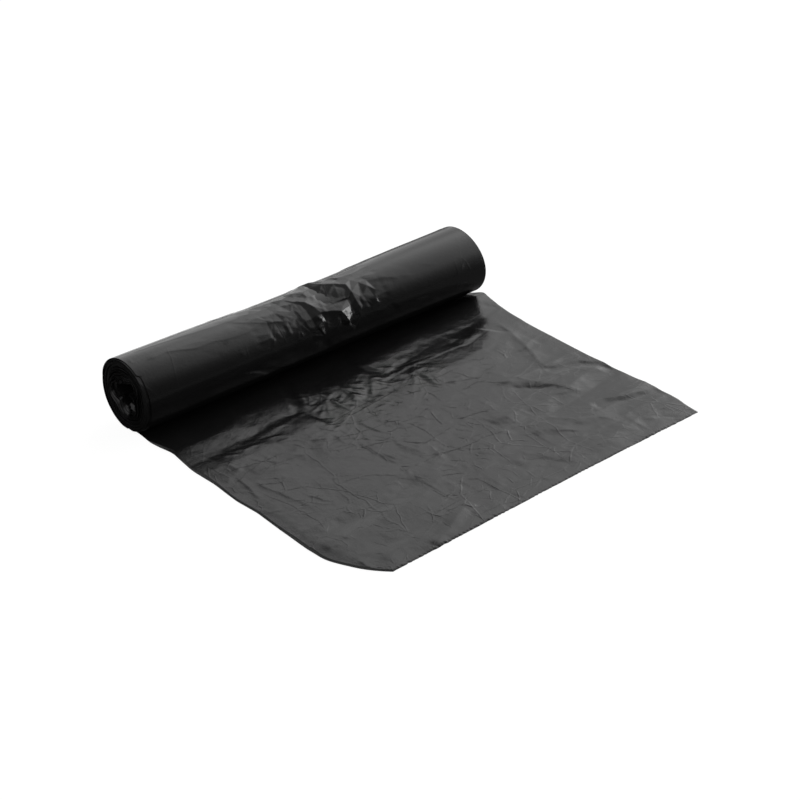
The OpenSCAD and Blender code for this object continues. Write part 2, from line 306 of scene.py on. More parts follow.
down = np.linspace(0, 1, bag_rows + 1)[:, None] * np.ones(bag_columns + 1)
over = np.ones(bag_rows + 1)[:, None] * np.linspace(0, 1, bag_columns + 1)
y = down * bag_reach
x = along_edge(bag_left_edge, y) * (1 - over) + along_edge(bag_right_edge, y) * over
# small teeth and waves of the torn perforation, in the last fortieth of the bag
torn = smooth((down - 0.975) / 0.025)
y = y + torn * (0.9 * np.sin(x / 74 + 1.0) + 0.5 * swell(x, 0 * x, 4.4, 5) + 0.45 * swell(x, 0 * x, 2.3, 6)
                + 0.8 * np.abs(np.sin(x * np.pi / 4.6)))

# the creases are pressed in slightly bent coordinates, so that none is quite straight
fx = x + 1.6 * swell(x, y, 31, 11) + 0.7 * swell(x, y, 11, 12)
fy = y + 1.6 * swell(x, y, 29, 13) + 0.7 * swell(x, y, 10, 14)
lie = np.zeros_like(x)

# broad folds: path, rise, width in front, width behind, softness, flat sides or not
for path, rise_mm, near, far, soft, plane in [
    ([(-14, 71), (62, 71), (80, 67), (93, 59), (112, 58), (140, 58), (160, 64)], 3.0, 28, 44, 2.5, True),
    ([(166, 64), (190, 76), (215, 82), (240, 80), (256, 70)], 1.9, 30, 34, 2.5, True),
    ([(256, 68), (288, 59), (330, 52), (390, 48), (424, 43), (480, 28)], 3.6, 27, 32, 2.5, True),
    ([(466, 0), (466, 40), (463, 76), (458, 110)], 1.8, 18, 18, 4.0, False),
    ([(-12, 123), (30, 124), (70, 126), (98, 126), (130, 124), (160, 120)], 1.8, 30, 27, 3.0, True),
    ([(60, 99), (84, 105), (112, 101), (160, 95)], 0.3, 4, 8, 0.6, True),
    ([(250, 99), (280, 97), (312, 97), (342, 97), (372, 100), (404, 94)], 0.4, 3.5, 10, 0.6, True),
    ([(290, 122), (345, 128), (380, 122), (420, 99)], 1.8, 30, 28, 3.0, True),
    ([(300, 74), (326, 77), (336, 70), (346, 76), (370, 72), (398, 75), (424, 80)], -0.25, 5, 5, 0.6, True),
    ([(30, 276), (80, 279), (120, 274), (166, 261)], -1.5, 12, 11, 2.0, False),
    ([(44, 320), (75, 331), (100, 327), (170, 310)], -0.7, 9, 8, 1.0, False),
    ([(95, 358), (130, 346), (158, 330)], 1.1, 9, 10, 0.8, True),
    ([(310, 252), (345, 266), (372, 263), (410, 258), (462, 250)], -1.5, 12, 11, 1.5, False),
    ([(308, 254), (334, 267), (350, 290), (370, 305), (396, 318)], 1.1, 9, 13, 0.8, False),
    ([(384, 283), (402, 290), (416, 298), (440, 305), (464, 309)], -1.5, 14, 8, 1.0, True),
    ([(345, 199), (360, 209), (371, 222), (388, 228)], -1.3, 8, 5.5, 0.8, False),
    ([(400, 199), (420, 206), (440, 212), (452, 226), (456, 248)], -1.2, 10, 6, 1.0, True),
    ([(436, 88), (421, 150), (404, 198)], 1.2, 6, 11, 0.8, False),
    ([(232, 292), (246, 310), (256, 322)], -0.6, 7, 8, 0.8, True),
    ([(258, 302), (275, 324), (292, 348)], -0.4, 8, 9, 0.8, True),
    ([(282, 268), (310, 270), (338, 268)], -0.4, 10, 5, 0.6, True),
    ([(212, 270), (212, 340)], 0.4, 8, 10, 0.8, False),
    ([(-30, 262), (80, 264), (130, 257), (180, 243)], 1.3, 12, 18, 3.0, False),
    ([(-30, 290), (84, 296), (132, 290), (190, 274)], 1.2, 10, 14, 3.0, False),
    ([(40, 344), (100, 340), (165, 320)], 1.0, 9, 12, 2.0, False),
    ([(280, 236), (350, 246), (400, 240), (490, 224)], 1.6, 9, 16, 2.0, False),
    ([(300, 280), (352, 296), (404, 294), (490, 284)], 1.5, 9, 14, 2.0, False),
    ([(336, 176), (366, 200), (388, 230), (398, 256)], 1.3, 10, 13, 2.0, False),
    ([(270, 330), (352, 340), (404, 332), (490, 336)], 1.2, 9, 12, 2.0, False),
    ([(190, 330), (240, 331), (300, 326)], -0.5, 6, 5, 0.8, False),
    ([(340, 288), (353, 309), (366, 316), (398, 320)], -0.25, 7, 6, 0.8, True),
]:
    press_crease(lie, fx, fy, path, rise_mm, near, far, soft, plane=plane)

# sharp creases of the film: path, rise, width in front, width behind
for path, rise_mm, near, far in [
    ([(12, 146), (30, 142), (46, 133)], 0.55, 1.6, 5),
    ([(34, 160), (60, 158), (73, 161)], 0.5, 1.5, 4),
    ([(70, 153), (95, 151), (105, 159)], 0.35, 1.4, 4),
    ([(98, 148), (122, 142), (145, 154)], 0.7, 1.7, 5),
    ([(148, 146), (147, 169)], 0.5, 1.5, 3),
    ([(72, 132), (71, 162)], 0.25, 1.6, 4),
    ([(28, 148), (26, 170), (22, 192)], 0.45, 1.5, 4),
    ([(36, 162), (40, 190), (46, 212), (51, 233)], 0.3, 1.6, 5),
    ([(123, 139), (150, 135), (172, 126)], 0.55, 1.5, 4),
    ([(150, 144), (168, 139), (185, 130)], 0.75, 1.7, 5),
    ([(168, 142), (179, 148)], 0.4, 1.4, 3),
    ([(192, 105), (192, 123), (202, 118)], 0.6, 1.6, 4),
    ([(54, 169), (66, 179)], 0.25, 1.6, 4),
    ([(183, 146), (188, 170), (196, 189)], 0.45, 1.5, 4),
    ([(167, 170), (171, 184)], 0.4, 1.4, 3),
    ([(175, 172), (189, 193)], 0.45, 1.5, 3),
    ([(204, 161), (216, 178)], 0.4, 1.5, 3),
    ([(219, 186), (236, 197)], 0.55, 1.6, 4),
    ([(143, 184), (162, 181)], 0.25, 1.5, 4),
    ([(22, 90), (30, 112), (34, 126), (37, 140)], 0.5, 3.5, 4),
    ([(24, 92), (28, 102), (27, 118)], -0.2, 2, 3),
    ([(38, 104), (52, 116)], 0.4, 2, 3),
    ([(54, 106), (72, 118)], 0.5, 2, 3),
    ([(92, 107), (110, 118)], 0.5, 2, 3),
    ([(95, 124), (112, 127)], 0.5, 1.5, 3),
    ([(118, 60), (117, 92)], 0.35, 2, 5),
    ([(80, 73), (93, 58)], 0.25, 3, 5),
    ([(92, 58), (112, 66)], 0.2, 2.5, 5),
    ([(68, 92), (90, 95), (116, 92)], -0.2, 3, 3.5),
    ([(124, 93), (162, 88)], -0.2, 3, 3.5),
    ([(250, 100), (262, 112), (277, 117)], 0.7, 2, 3),
    ([(254, 152), (280, 124), (306, 94)], 0.5, 2.5, 3.5),
    ([(252, 159), (282, 136)], 0.3, 1.5, 4),
    ([(284, 110), (305, 110), (314, 122)], 0.7, 2, 4),
    ([(304, 132), (322, 127)], 0.6, 2, 4),
    ([(292, 138), (301, 153)], 0.4, 1.6, 3),
    ([(304, 150), (314, 156)], 0.5, 1.6, 3),
    ([(368, 79), (387, 96), (401, 87), (424, 84)], 0.4, 3, 3.5),
    ([(420, 150), (440, 142), (456, 156)], 0.3, 1.8, 5),
    ([(350, 158), (358, 182)], 0.3, 1.6, 4),
    ([(366, 188), (372, 204), (381, 215), (412, 218)], 0.7, 2, 5),
    ([(344, 188), (380, 192), (462, 192)], 0.8, 2.4, 7),
    ([(422, 196), (462, 202)], -0.6, 3, 5),
    ([(264, 183), (281, 187)], 0.3, 1.5, 4),
    ([(60, 214), (66, 233), (73, 242)], 0.55, 1.6, 4),
    ([(54, 231), (68, 244)], 0.25, 1.5, 4),
    ([(8, 212), (28, 221)], 0.3, 1.6, 4),
    ([(6, 204), (16, 209)], 0.3, 1.6, 3),
    ([(42, 208), (72, 199)], 0.3, 2.5, 6),
    ([(163, 205), (166, 226)], 0.4, 1.5, 3),
    ([(173, 212), (178, 234)], 0.4, 1.5, 3),
    ([(160, 242), (167, 257)], 0.2, 1.5, 3),
    ([(31, 270), (37, 286), (46, 302)], 0.4, 1.8, 5),
    ([(13, 299), (40, 300)], 0.25, 1.6, 4),
    ([(186, 199), (206, 204)], 0.5, 1.6, 3),
    ([(202, 239), (201, 256)], 0.35, 1.5, 3),
    ([(196, 264), (203, 278)], 0.35, 1.5, 3),
    ([(194, 296), (208, 306)], 0.5, 1.6, 3),
    ([(158, 324), (166, 340)], 0.5, 1.8, 4),
    ([(174, 290), (186, 299)], 0.3, 1.5, 3),
    ([(244, 202), (256, 211)], 0.35, 1.6, 3),
    ([(266, 209), (276, 217)], 0.5, 1.6, 3),
    ([(236, 269), (256, 297)], 0.35, 1.8, 5),
    ([(248, 341), (262, 359)], 0.35, 1.8, 5),
    ([(308, 262), (307, 292)], 0.4, 2, 5),
    ([(320, 290), (346, 313)], 0.55, 2.2, 5),
    ([(352, 317), (400, 319), (462, 320)], 0.7, 2.2, 6),
    ([(404, 336), (417, 343)], 0.5, 1.8, 4),
    ([(418, 342), (437, 356)], -0.7, 4, 4),
    ([(372, 324), (386, 347)], 0.3, 1.8, 5),
    ([(400, 346), (422, 342)], 0.3, 2, 5),
]:
    press_crease(lie, fx, fy, path, rise_mm * 0.85, near, far)

# the star of small creases where the film has bunched up in the middle, and small ones at random places
for path, rise_mm, near, far in [
    ([(165, 56), (172, 66), (180, 76)], 0.8, 2, 3),
    ([(160, 68), (176, 77), (192, 86)], 0.9, 2, 3),
    ([(194, 61), (200, 72), (206, 82)], 0.9, 2, 3),
    ([(188, 92), (174, 97), (158, 100)], 0.8, 1.8, 3),
    ([(188, 92), (172, 103), (160, 114)], 0.8, 1.8, 3),
    ([(187, 93), (174, 108), (170, 118)], 0.7, 1.6, 3),
    ([(188, 92), (198, 86)], 0.8, 1.8, 3),
    ([(188, 92), (186, 78), (180, 60)], 0.8, 2, 4),
    ([(189, 94), (192, 106)], 0.7, 1.6, 3),
    ([(208, 68), (211, 86), (213, 102), (222, 113)], 1.0, 3, 4),
    ([(213, 88), (233, 106)], 0.8, 2, 4),
    ([(222, 82), (242, 101)], 0.8, 2, 4),
    ([(205, 112), (222, 106)], 0.7, 2, 3),
    ([(224, 116), (230, 137), (236, 141)], 0.6, 1.8, 3),
    ([(199, 132), (216, 130)], 0.5, 1.6, 3),
    ([(204, 140), (231, 139)], 0.5, 1.6, 4),
    ([(229, 116), (240, 102), (250, 88), (260, 96)], 0.8, 2, 3),
    ([(228, 106), (250, 118)], 0.7, 2, 3),
    ([(250, 88), (250, 102)], 0.6, 1.8, 3),
    ([(246, 124), (254, 140)], 0.4, 1.8, 3),
    ([(164, 90), (180, 88)], -0.6, 2, 3),
    ([(172, 66), (170, 78), (163, 88)], -0.6, 2, 3),
    ([(196, 96), (206, 92)], -0.6, 2, 2.5),
    ([(262, 78), (284, 90)], 0.5, 2, 4),
    ([(268, 92), (286, 82), (306, 80)], 0.5, 2, 4),
    ([(275, 102), (290, 95)], 0.5, 2, 3),
]:
    press_crease(lie, fx, fy, path, rise_mm * 0.7, near, far, 0.4)
scatter_creases(lie, fx, fy, 70, 21, (205, 95, 26, 20), (8, 30), (0.08, 0.35), (1.3, 2.0))
scatter_creases(lie, fx, fy, 60, 22, (265, 105, 26, 18), (10, 30), (0.07, 0.26), (1.4, 2.4))
scatter_creases(lie, fx, fy, 60, 23, (190, 165, 30, 35), (12, 40), (0.05, 0.22), (1.4, 2.0))
scatter_creases(lie, fx, fy, 70, 24, (187, 260, 22, 60), (10, 34), (0.05, 0.2), (1.4, 2.0), 1.5, 0.35)
scatter_creases(lie, fx, fy, 60, 25, (280, 240, 36, 60), (14, 46), (0.05, 0.2), (1.5, 2.2), 0.75, 0.5)
scatter_creases(lie, fx, fy, 90, 26, (240, 190, 130, 90), (14, 46), (0.05, 0.24), (1.6, 3.2))
scatter_creases(lie, fx, fy, 40, 27, (370, 270, 50, 50), (20, 60), (0.06, 0.24), (1.5, 2.6), 0.3, 0.5)
scatter_creases(lie, fx, fy, 26, 28, (90, 106, 40, 9), (14, 34), (0.06, 0.3), (1.6, 3.0), 0.15, 0.3)
scatter_creases(lie, fx, fy, 30, 29, (350, 92, 45, 14), (14, 40), (0.05, 0.2), (1.6, 3.0), 0.05, 0.3)

# flat facets between the creases: strong in the bunched middle, faint elsewhere
star = np.exp(-((x - 200) / 38) ** 2 - ((y - 96) / 30) ** 2)
star += 0.8 * np.exp(-((x - 268) / 34) ** 2 - ((y - 100) / 22) ** 2)
middle = np.exp(-((x - 200) / 60) ** 4) * smooth((y - 60) / 60)
lie += softened(crumple(fx, fy, 11, 0.2, 71)) * np.minimum(star, 1)
lie += softened(crumple(fx, fy, 6.5, 0.11, 72)) * np.minimum(star, 1)
lie += softened(crumple(fx, fy * 0.6, 12, 0.2, 73)) * (0.25 + 0.5 * middle + 0.4 * smooth((x - 230) / 90))
lie += softened(crumple(fx, fy, 6.0, 0.05, 74)) * (0.5 + 0.5 * middle)
lie += softened(crumple(fx * 0.6, fy, 26, 0.34, 75), 2) * (0.5 + 0.5 * smooth((x - 250) / 80))

# the two lines where the side gussets end inside the bag, and the slack of the film between its creases
for place, rise_mm in [(160.0, 0.28), (303.0, 0.22), (188.0, 0.14), (213.0, 0.1), (252.0, 0.08)]:
    off = fx - place - 1.5 * swell(0 * x, y, 60, int(place))
    lie += rise_mm * np.exp(-np.abs(off) / np.where(off < 0, 1.6, 4.0)) * smooth((y - 40) / 30)
lie += 0.5 * swell(x, y, 55, 31) + 0.16 * swell(x * 0.7, y, 19, 32) + 0.05 * swell(x, y, 7, 33)

# film lies on the floor between its folds, and flat under the roll
ground = film_thickness + 0.1
lie = 1.1 + lie
lie = ground + np.where(lie > 0.3, lie, 0.3 * np.exp(np.minimum(lie - 0.3, 0) / 0.3))
lie = ground + (lie - ground) * smooth((y - 8) / 30)

# front left corner, where the film is doubled and stands off the floor a little
corner_x, corner_y = (x - 24.5) * 0.74 + (y - 345) * -0.67, (x - 24.5) * 0.67 + (y - 345) * 0.74
doubled = smooth((corner_y + 34) / 10) * smooth((34 - corner_x + 0.6 * corner_y) / 12) * smooth((y - 300) / 20)
doubled *= smooth((62 - x) / 14)
lie += 0.3 * doubled
press_crease(lie, x, y, [(27.5, 330), (26, 344), (30, 350)], 0.6, 2.0, 5.0)

# edges roll down to the floor over a millimetre, and what stands higher than level_film comes down a little too
edge_width, calm_width, level_film = 1.0, 16, 1.7
left_gap, right_gap = x - x[:, :1], x[:, -1:] - x
rim = np.minimum(np.minimum(left_gap, right_gap), np.maximum(y[-1:] - y, 0) * 1.5)
round_off = np.sqrt(np.clip(1 - (1 - np.clip(rim / edge_width, 0, 1)) ** 2, 0, 1))
calm = smooth(rim / calm_width)
raised = np.maximum(lie - level_film, 0) * (0.85 + 0.15 * calm)
lie = np.minimum(lie, level_film) * (0.88 + 0.12 * calm) + raised
lie = 0.1 + (lie - 0.1) * (0.3 + 0.7 * round_off)


def make_sheet(name, outside, inside, step):
    """Mesh of a film: outside[rows, columns, xyz] is fine and inside, every step-th point of it, is coarse."""
    rows, columns = outside.shape[0] - 1, outside.shape[1] - 1
    in_rows, in_columns = rows // step, columns // step
    points = np.concatenate([outside.reshape(-1, 3), inside.reshape(-1, 3)])
    first = (rows + 1) * (columns + 1)
    fine = np.arange(first).reshape(rows + 1, columns + 1)
    rough = first + np.arange((in_rows + 1) * (in_columns + 1)).reshape(in_rows + 1, in_columns + 1)
    quads = np.stack([fine[:-1, :-1], fine[1:, :-1], fine[1:, 1:], fine[:-1, 1:]], -1).reshape(-1, 4)
    under = np.stack([rough[:-1, :-1], rough[:-1, 1:], rough[1:, 1:], rough[1:, :-1]], -1).reshape(-1, 4)
    loops = [(fine[0, ::-1], rough[0, ::-1]), (fine[:, 0], rough[:, 0]),
             (fine[-1, :], rough[-1, :]), (fine[::-1, -1], rough[::-1, -1])]
    rims = []
    for edge, base in loops:
        for k in range(len(base) - 1):
            part = edge[k * step:(k + 1) * step + 1]
            half = step // 2
            rims += [(part[m + 1], part[m], base[k] if m < half else base[k + 1]) for m in range(step)]
            rims.append((part[half], base[k], base[k + 1]))
    mesh = bpy.data.meshes.new(name)
    faces = quads.tolist() + under.tolist() + [tuple(map(int, rim)) for rim in rims]
    mesh.from_pydata((points * 0.001).tolist(), [], faces)
    mesh.polygons.foreach_set("use_smooth", np.ones(len(mesh.polygons), bool))
    mesh.update()
    mesh.set_sharp_from_angle(angle=np.radians(55))
    piece = bpy.data.objects.new(name, mesh)
    scene.collection.objects.link(piece)
    return piece


def lowest_near(values, step):
    """Every step-th value of a grid, lowered to the lowest one round it."""
    low = values.copy()
    for shift in range(1, step + 1):
        for axis in (0, 1):
            for way in (-shift, shift):
                low = np.minimum(low, np.roll(values, way, axis))
    return low[::step, ::step]


def noise(vector, scale, detail, result=0, **more):
    values = {"Vector": vector, "Scale": scale, "Detail": detail, **more}
    return Shade.node(vector.tree, "TexNoise", {}, values, result)


def cell_edges(vector, scale):
    """Distance from the nearest edge between two random cells."""
    return Shade.node(vector.tree, "TexVoronoi", {"feature": "DISTANCE_TO_EDGE"}, {"Vector": vector, "Scale": scale})


def film_finish(name, wound_on):
    """Black polythene: nearly black, glossy, with fine drawn lines along the web, small crinkles and a little dust."""
    material = bpy.data.materials.new(name)
    tree = fresh_tree(material)
    place = Shade.node(tree, "TexCoord", {}, {}, "Object")
    parts = Shade.node(tree, "SeparateXYZ", {}, {"Vector": place})
    px, py, pz = (parts.other(i) for i in range(3))
    axis_height, wound_radius = 0.0405, 0.041
    along_web = py.math("ARCTAN2", axis_height - pz) * wound_radius if wound_on else py
    lay = Shade.node(tree, "CombineXYZ", {}, {"X": px, "Y": along_web, "Z": 0.0})
    drawn = Shade.node(tree, "CombineXYZ", {}, {"X": px, "Y": along_web * 0.02, "Z": 0.0})
    bent = Shade.node(tree, "Mix", {"data_type": "VECTOR"}, {0: 0.006, 4: lay, 5: noise(lay, 40.0, 2.0, 1)}, 1)

    crinkle = noise(lay, 210.0, 4.0, Roughness=0.55, Distortion=0.8)
    lines = noise(drawn, 900.0, 2.0)
    patches = noise(lay, 24.0, 3.0)
    dust = noise(lay, 2600.0, 1.0).between(0.66, 0.8)
    grain = noise(lay, 1300.0, 2.0)
    facets = cell_edges(bent, 120.0) * 0.4 + cell_edges(bent, 310.0) * 0.3
    relief = lines * 0.12 + grain * 0.17 + facets * patches.between(0.35, 0.65)
    # networks of thin creases: scale, stretch, turn, width, height, shift
    if wound_on:
        relief = relief + crinkle * 0.4 + grain * 0.25
        bunched = 1
        networks = [(22.0, (0.3, 1.0, 1.0), 0.15, 0.02, 0.5, 1.3),
                    (30.0, (1.0, 0.4, 1.0), 0.3, 0.03, 0.35, 6.1)]
    else:
        relief = relief + crinkle * 0.22
        # taller in the bag's middle and right half, and lower near the roll
        bunched = px.between(-0.1, -0.04) * 0.55 - px.between(0.05, 0.12) * 0.5 + 1
        bunched = bunched * (1 - py.between(-0.14, -0.1) * 0.6)
        networks = [(26.0, (1.0, 0.4, 1.0), 0.1, 0.02, 0.36, 0.0),
                    (34.0, (0.4, 1.0, 1.0), 0.35, 0.024, 0.4, 3.1),
                    (30.0, (0.5, 1.0, 1.0), -0.8, 0.022, 0.4, 7.7),
                    (70.0, (0.8, 1.0, 1.0), 0.9, 0.05, 0.3, 5.2)]
    for scale, stretch, lean, wide, tall, shift in networks:
        laid = Shade.node(tree, "Mapping", {}, {"Vector": bent, "Location": (shift, shift, 0.0),
                                                "Rotation": (0, 0, lean), "Scale": stretch})
        here = noise(laid, scale * 0.9, 1.0).between(0.47, 0.64)
        relief = relief + (1 - cell_edges(laid, scale).between(0.0, wide)) * here * tall * bunched
    bump = Shade.node(tree, "Bump", {}, {"Strength": 0.16 if wound_on else 0.4, "Distance": 0.0008, "Height": relief})
    tint = Shade.node(tree, "Mix", {"data_type": "RGBA"}, {0: dust * 0.5 + patches * 0.2,
                      6: (0.007, 0.007, 0.0072, 1), 7: (0.022, 0.0218, 0.0214, 1)}, 2)
    rough = patches * 0.07 + lines * 0.03 + (0.1 if wound_on else 0.17)
    film = Shade.node(tree, "BsdfPrincipled", {}, {"Base Color": tint, "Roughness": rough, "IOR": 1.5, "Normal": bump})
    tree.links.new(film.port, tree.nodes.new("ShaderNodeOutputMaterial").inputs["Surface"])
    return material


flat_film = film_finish("flat_film", False)
wound_film = film_finish("wound_film", True)

# the side towards the floor follows the film from below, and is a little smaller all round
upper = np.stack([x - roll_length / 2, -y, lie], -1)
floor_side = upper[::coarse_step, ::coarse_step].copy()
floor_side[..., 2] = np.clip(lowest_near(lie, coarse_step) - film_thickness, 0.03, None)
floor_side[:, 0, 0] += 0.5
floor_side[:, -1, 0] -= 0.5
floor_side[-1, :, 1] += 0.4
loose_bag = make_sheet("loose_bag", upper, floor_side, coarse_step)
loose_bag.data.materials.append(flat_film)
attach(loose_bag, "root")
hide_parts("bag_roll")


# Outer turn: the next bag of the same web, wound once round the roll. It is slack, has slipped a few millimetres to
# the right, and is pinched into puckers round the middle, where the folded bags have fewer layers under it.
left_half_width, left_half_height = 41.5, 40.5
right_half_width, right_half_height = 44.0, 38.5
mean_radius = 41.1
flat_press = 0.8
turn_rows, turn_columns = 208, 380
turn_thickness = 0.5
lower_pucker = 0.82  # height of the puckers beside the big facet, as a share of what the list says


def round_roll(x, angle, deep):
    """Points of the roll's section at x and angle (radians from the floor over the back), a depth below its outside."""
    t = np.clip(x / roll_length, 0, 1)
    half_width = left_half_width + (right_half_width - left_half_width) * t
    half_height = left_half_height + (right_half_height - left_half_height) * t
    dip = 3.5 * np.exp(-((t - 0.5) / 0.276) ** 2) * (1 - np.cos(angle)) / 2
    share = 1 - (deep + dip) / mean_radius
    out = np.maximum((half_height + flat_press / 2) * (1 - np.cos(angle)) - flat_press, 0)
    return share * half_width * np.sin(angle), half_height + share * (out - half_height)


def wound_points(x, angle, deep):
    across, up = round_roll(x, angle, deep)
    return np.stack([x - roll_length / 2, across, up], -1)


# rows in degrees round the roll and columns along it, closer together where the puckers are
row_places = np.interp(np.arange(turn_rows + 1), [0, 44, 190, turn_rows], [0, 120, 272, 364])
column_places = np.interp(np.arange(turn_columns + 1), [0, 72, 308, turn_columns], [0, 0.33, 0.68, 1])
turned = row_places[:, None] * np.ones(turn_columns + 1)
across = np.ones(turn_rows + 1)[:, None] * column_places
set_in = 1 - 0.78 * smooth((turned - 40) / 80) * smooth((218 - turned) / 5)
x = (4.4 * set_in + 0.35 * np.sin(turned / 23)) * (1 - across) + (460.7 + 0.4 * np.sin(turned / 19)) * across
arc = turned * np.pi / 180 * mean_radius
sx = x + 1.0 * swell(x, arc, 26, 41)
sy = arc + 1.2 * swell(x, arc, 24, 42)
degree = np.pi / 180 * mean_radius

# corners of the puckers' facets, ridge by ridge: x, degrees round the roll, height above the slack film
pucker_lines = [
    [(238, 148, 0.0), (246, 157, 0.1), (243, 175, -0.5), (243, 195, -0.6), (245, 208, -0.6), (248, 218, -0.35),
     (250, 220.5, 0.1)],
    [(247, 143, 1.2), (250, 160, 2.8), (257, 181, 3.1), (268, 191, 3.3), (279, 200, 3.1), (279, 214, 2.5),
     (279, 228, 1.1), (281, 241, 0.5), (280, 252, 0.0)],
    [(250, 220.5, 0.2), (260, 220.8, 0.7), (270, 221, 1.0)],
    [(250.5, 221.7, 0.0), (270.3, 222.6, -0.3), (269.3, 234.5, 0.4), (262.5, 258, 2.2), (263, 266, 0.0)],
    [(222, 203, 2.0), (226, 213, 2.0), (231, 227, 2.0), (244, 232, 2.3), (255, 238.5, 3.4), (262.5, 258, 2.2)],
    [(255, 238.5, 3.4), (269.3, 234.5, 0.5)],
    [(271.5, 223, -0.3), (271, 236, -0.4), (269, 250, -0.1)],
    [(205, 177, 1.0), (213, 193, 1.6), (222, 203, 2.0)],
    [(235, 160, 1.2), (234, 178, 1.1), (234, 195, 0.9), (236, 212, 0.7), (243, 222, 0.5)],
    [(217, 166, 0.5), (223, 172, 1.1), (230, 183, 1.4), (231, 194, 1.3)],
    [(212, 172, 0.2), (220, 184, 0.5), (226, 193, 0.8)],
    [(199, 182, 0.2), (209, 194, 0.9), (216.5, 202, 0.8), (218, 217, 0.5), (219, 232, 0.3), (221, 247, 0.0)],
    [(209.5, 205, 0.7), (211, 218, 0.6), (213, 232, 0.4), (211, 246, 0.3)],
    [(203.5, 208, 0.25), (203, 222, 0.2), (205.5, 235, 0.25), (211, 247, 0.1)],
    [(200.5, 208, 0.4), (199.8, 222, 0.3), (203, 236, 0.3), (208.5, 247.6, 0.45), (211, 254, 0.0)],
    [(191, 212, 0.3), (193, 226, 0.3), (197, 238, 0.2), (201, 248, 0.0)],
    [(185.3, 219, 0.2), (185.6, 229, 0.7), (186.7, 240, 0.5), (188, 246, 0.0)],
    [(189.4, 220, 0.2), (189.7, 230, 0.2), (190.2, 242, 0.1)],
    [(182.5, 224, 0.1), (183, 236, 0.0)],
    [(225.2, 229.5, 1.5), (226, 233, 1.9), (229.5, 240, 1.2), (231, 247, 0.2)],
    [(231, 229.5, 1.5), (232.6, 236, 0.7), (234.5, 246, 0.0)],
    [(220.5, 236, 0.0), (222, 249, 0.3), (229, 267, 0.0)],
    [(223, 248, 0.9), (226, 257, 0.7), (231, 266, 0.0)],
    [(240, 236, 0.9), (243, 247, 0.4), (246, 256, 0.0)],
    [(248, 240, 1.7), (252, 250, 1.0), (254, 260, 0.0)],
    [(262, 160, 0.6), (268, 170, 0.9), (277, 184, 1.0), (288, 195, 1.9), (295, 204, 1.6), (302, 214, 0.9),
     (309, 226, 0.3)],
    [(274, 168, 1.1), (281, 178, 1.5), (288, 187, 1.5), (294, 196, 1.3)],
    [(284, 170, 0.5), (291, 180, 0.8), (297, 190, 0.7)],
    [(290, 168, 0.7), (297, 182, 1.0), (302, 195, 0.7), (306, 206, 0.2)],
    [(287.3, 226, 0.6), (288.4, 236, 0.45), (291, 248, 0.3), (294, 256, 0.0)],
    [(291, 226, 0.3), (292.5, 238, 0.2), (295.5, 250, 0.0)],
    [(284.5, 232, 0.1), (285.5, 244, 0.0)],
    [(296, 236, 0.2), (299, 247, 0.4)],
    [(303.2, 235, 0.2), (303.6, 240, 0.8), (304.8, 246, 0.6), (306, 250, 0.0)],
    [(306.2, 236, 0.1), (306.6, 242, 0.1), (307.6, 249, 0.0)],
    [(158, 166, 0.4), (158, 182, 0.5), (159.5, 196, 0.5), (168, 206, 0.2)],
    [(162.5, 172, 0.1), (162.5, 186, 0.1), (165, 196, 0.1)],
    [(170, 166, 0.3), (172, 184, 0.3), (172, 200, 0.3), (175, 212, 0.1)],
    [(180, 172, 0.1), (181, 186, 0.1), (183, 200, 0.1)],
    [(187, 168, 0.4), (188, 184, 0.5), (188.5, 198, 0.4)],
    [(193, 170, 0.2), (195, 190, 0.2)],
    [(162, 228, 0.1), (162.8, 235, 0.5), (165, 241, 0.2), (166, 246, 0.0)],
    [(166, 229, 0.0), (166.4, 236, 0.0), (168, 243, 0.0)],
    [(171.5, 226, 0.1), (172.4, 234, 0.45), (175, 241, 0.2), (177, 248, 0.0)],
    [(175.8, 228, 0.0), (176.5, 237, 0.0), (178, 244, 0.0)],
]
corners, ridges = [], []
for line in pucker_lines:
    for k, (px, turn_angle, rise_mm) in enumerate(line):
        share = 1.0 if 222 <= px <= 284 else lower_pucker
        corners.append((px, turn_angle * degree, rise_mm * share))
        if k:
            ridges.append((len(corners) - 2, len(corners) - 1))
# level points round them, where the film is not pinched
around = [(px, turn_angle) for px in range(140, 331, 12) for turn_angle in (132, 276)]
around += [(px, turn_angle) for px in (132, 146, 322, 336) for turn_angle in range(140, 276, 12)]
corners += [(px, turn_angle * degree, 0.0) for px, turn_angle in around]
pinch = softened(facet_height(sx, sy, corners, ridges, mean_radius))

